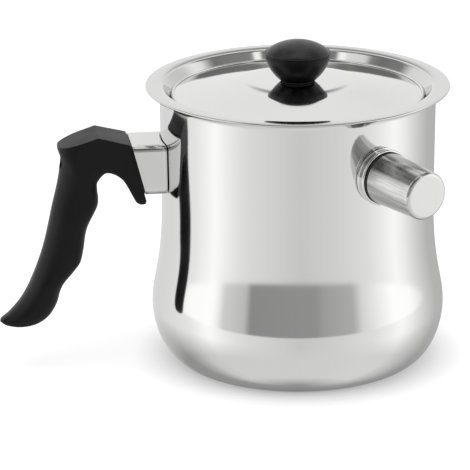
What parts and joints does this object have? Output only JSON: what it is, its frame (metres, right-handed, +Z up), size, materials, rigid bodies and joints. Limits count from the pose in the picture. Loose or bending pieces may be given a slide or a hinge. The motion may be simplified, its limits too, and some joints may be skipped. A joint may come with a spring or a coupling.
{
  "type": "milk boiler",
  "caption": "Double-walled milk boiler: belly-shaped steel jacket, sunk domed lid with a mushroom knob, moulded side grip, and a filler neck closed by a whistle plug.",
  "frame": {"origin": "centre of the flat underside, on the pot's axis", "axes": "+Z up along the pot's axis; the handle points along -X; the filler and its whistle point 63 degrees from +X towards -Y, and their axis falls 2.3 degrees outwards"},
  "size_m": [0.2312, 0.1767, 0.1662],
  "materials": {
    "polished_steel": "mirror polished",
    "vessel_steel": "polished",
    "ferrule_steel": "satin polished",
    "fastener_steel": "plain",
    "insert_brass": "plain",
    "whistle_aluminium": "plain",
    "grip_phenolic": "moulded, soft satin",
    "plug_silicone": "matt",
    "gasket_fibre": "matt"
  },
  "bodies": {
    "pot": {"outer_shell": "polished_steel", "inner_vessel": "vessel_steel", "filler_neck": "polished_steel", "handle_bracket": "fastener_steel", "handle_ferrule": "ferrule_steel", "handle_grip": "grip_phenolic", "handle_washer": "fastener_steel", "handle_lock_washer": "fastener_steel", "handle_screw": "fastener_steel"},
    "lid": {"lid_pan": "polished_steel", "lid_knob": "grip_phenolic", "knob_gasket": "gasket_fibre", "knob_insert": "insert_brass", "knob_washer": "fastener_steel", "knob_screw": "fastener_steel"},
    "whistle": {"whistle_cap": "polished_steel", "whistle_plug": "plug_silicone", "whistle_plate_inner": "whistle_aluminium", "whistle_plate_outer": "whistle_aluminium", "whistle_spacer": "whistle_aluminium"}
  },
  "joints": [
    {"name": "lid_lift", "type": "slide", "parent": "pot", "child": "lid", "axis": [0, 0, 1], "range_m": [0, 0.14]},
    {"name": "whistle_pull", "type": "slide", "parent": "pot", "child": "whistle", "axis": [0.4536, -0.8903, -0.0401], "range_m": [0, 0.05]}
  ]
}
